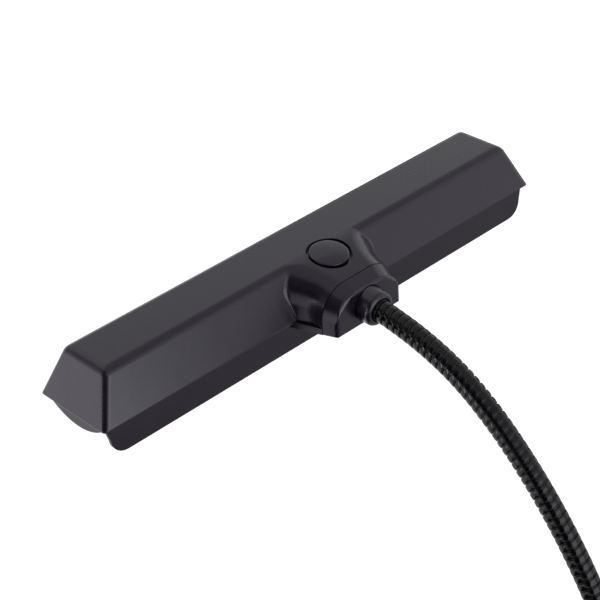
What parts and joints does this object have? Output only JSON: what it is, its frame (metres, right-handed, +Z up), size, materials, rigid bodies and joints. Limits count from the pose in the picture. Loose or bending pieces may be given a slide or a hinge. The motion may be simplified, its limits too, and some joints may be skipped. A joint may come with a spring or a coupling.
{
  "type": "clip-on reading lamp",
  "caption": "Clip-on reading lamp: a wide, shallow LED head with a push button on a ringed gooseneck that rises from a spring clip with padded jaws.",
  "frame": {"origin": "the middle of the closed jaws, halfway between the two rubber pads", "axes": "+Z up the clip towards the neck, +Y from the case towards the jaw lever and the head, +X along the head so that the USB socket is on the -X side"},
  "size_m": [0.266, 0.2372, 0.3392],
  "materials": {
    "head_plastic": "satin charcoal moulding with a fine spark texture",
    "clip_plastic": "satin charcoal moulding",
    "neck_rings": "glossy black lacquer over a wound steel coil",
    "pad_rubber": "matt black rubber",
    "steel": "plain zinc-plated steel",
    "nickel": "nickel-plated spring steel",
    "lens_diffuser": "frosted clear diffuser",
    "white_plastic": "white reflector plastic",
    "led_phosphor": "pale yellow phosphor on white bodies",
    "circuit_board": "green solder mask",
    "black_plastic": "black switch body",
    "lead_insulation": "black cable jacket",
    "cell_wrap": null
  },
  "bodies": {
    "clip": {"clip_case": "clip_plastic", "case_back": "clip_plastic", "case_screws": "steel", "battery_cells": "cell_wrap", "cell_springs": "nickel", "cell_contacts": "nickel", "power_board": "circuit_board", "usb_socket": "nickel", "fixed_pad": "pad_rubber", "hinge_pin": "steel", "jaw_spring": "steel", "clip_ferrule": "steel", "clip_nut": "steel", "clip_lead": "lead_insulation", "neck_link_01": "neck_rings"},
    "door": {"battery_door": "clip_plastic"},
    "jaw": {"jaw_lever": "clip_plastic", "jaw_pad": "pad_rubber"},
    "neck_02": {"neck_link_02": "neck_rings"},
    "neck_03": {"neck_link_03": "neck_rings"},
    "neck_04": {"neck_link_04": "neck_rings"},
    "neck_05": {"neck_link_05": "neck_rings"},
    "neck_06": {"neck_link_06": "neck_rings"},
    "neck_07": {"neck_link_07": "neck_rings"},
    "neck_08": {"neck_link_08": "neck_rings"},
    "neck_09": {"neck_link_09": "neck_rings"},
    "neck_10": {"neck_link_10": "neck_rings"},
    "neck_11": {"neck_link_11": "neck_rings"},
    "neck_12": {"neck_link_12": "neck_rings"},
    "neck_13": {"neck_link_13": "neck_rings"},
    "head": {"neck_link_14": "neck_rings", "head_ferrule": "steel", "head_nut": "steel", "head_lead": "lead_insulation", "head_shell": "head_plastic", "neck_cover": "head_plastic", "light_frame": "head_plastic", "lens": "lens_diffuser", "reflector": "white_plastic", "led_board": "circuit_board", "leds": "led_phosphor", "switch_board": "circuit_board", "push_switch": "black_plastic", "frame_screws": "steel"},
    "button": {"power_button": "head_plastic", "switch_plunger": "white_plastic"}
  },
  "joints": [
    {"name": "neck_lower_bend", "type": "hinge", "parent": "clip", "child": "neck_02", "pos_m": [0, -0.0142, 0.0882], "axis": [-1, 0, 0], "range_deg": [-14, 8.5]},
    {"name": "neck_side_bend", "type": "hinge", "parent": "neck_02", "child": "neck_03", "pos_m": [0, -0.0124, 0.11013], "axis": [0, -0.9966, 0.0819], "range_deg": [-8, 8]},
    {"name": "neck_bend_03", "type": "hinge", "parent": "neck_03", "child": "neck_04", "pos_m": [0, -0.0088, 0.13183], "axis": [-1, 0, 0], "range_deg": [-14, 8.5]},
    {"name": "neck_side_04", "type": "hinge", "parent": "neck_04", "child": "neck_05", "pos_m": [0, -0.00345, 0.15317], "axis": [0, -0.9699, 0.2436], "range_deg": [-8, 8]},
    {"name": "neck_bend_05", "type": "hinge", "parent": "neck_05", "child": "neck_06", "pos_m": [0, 0.00364, 0.174], "axis": [-1, 0, 0], "range_deg": [-14, 8.5]},
    {"name": "neck_side_06", "type": "hinge", "parent": "neck_06", "child": "neck_07", "pos_m": [0, 0.01242, 0.19417], "axis": [0, -0.9171, 0.3987], "range_deg": [-8, 8]},
    {"name": "neck_upper_bend", "type": "hinge", "parent": "neck_07", "child": "neck_08", "pos_m": [0, 0.02281, 0.21356], "axis": [-1, 0, 0], "range_deg": [-14, 8.5]},
    {"name": "neck_side_08", "type": "hinge", "parent": "neck_08", "child": "neck_09", "pos_m": [0, 0.03476, 0.23203], "axis": [0, -0.8396, 0.5432], "range_deg": [-8, 8]},
    {"name": "neck_bend_09", "type": "hinge", "parent": "neck_09", "child": "neck_10", "pos_m": [0, 0.04819, 0.24946], "axis": [-1, 0, 0], "range_deg": [-14, 8.5]},
    {"name": "neck_side_10", "type": "hinge", "parent": "neck_10", "child": "neck_11", "pos_m": [0, 0.06313, 0.2656], "axis": [0, -0.7337, 0.6794], "range_deg": [-8, 8]},
    {"name": "neck_bend_11", "type": "hinge", "parent": "neck_11", "child": "neck_12", "pos_m": [0, 0.07961, 0.28018], "axis": [-1, 0, 0], "range_deg": [-14, 8.5]},
    {"name": "neck_side_12", "type": "hinge", "parent": "neck_12", "child": "neck_13", "pos_m": [0, 0.09806, 0.29216], "axis": [0, -0.5446, 0.8387], "range_deg": [-8, 8]},
    {"name": "neck_bend_13", "type": "hinge", "parent": "neck_13", "child": "head", "pos_m": [0, 0.11867, 0.29987], "axis": [-1, 0, 0], "range_deg": [-14, 8.5]},
    {"name": "button_press", "type": "slide", "parent": "head", "child": "button", "axis": [0, 0.2258, -0.9742], "range_m": [0, 0.0012], "stiffness_N_per_m": 800, "springref_m": -0.001},
    {"name": "jaw_open", "type": "hinge", "parent": "clip", "child": "jaw", "pos_m": [0, 0.009, 0.027], "axis": [1, 0, 0], "range_deg": [0, 30], "stiffness_Nm_per_rad": 0.53, "springref_deg": -23.49, "deforming": ["jaw_spring"]},
    {"name": "door_slide", "type": "slide", "parent": "clip", "child": "door", "axis": [0, 0, -1], "range_m": [0, 0.056]}
  ],
  "couplings": [
    {"joint": "neck_bend_03", "follows": "neck_lower_bend", "ratio": 1},
    {"joint": "neck_side_04", "follows": "neck_side_bend", "ratio": 1},
    {"joint": "neck_bend_05", "follows": "neck_lower_bend", "ratio": 1},
    {"joint": "neck_side_06", "follows": "neck_side_bend", "ratio": 1},
    {"joint": "neck_side_08", "follows": "neck_side_bend", "ratio": 1},
    {"joint": "neck_bend_09", "follows": "neck_upper_bend", "ratio": 1},
    {"joint": "neck_side_10", "follows": "neck_side_bend", "ratio": 1},
    {"joint": "neck_bend_11", "follows": "neck_upper_bend", "ratio": 1},
    {"joint": "neck_side_12", "follows": "neck_side_bend", "ratio": 1},
    {"joint": "neck_bend_13", "follows": "neck_upper_bend", "ratio": 1}
  ]
}
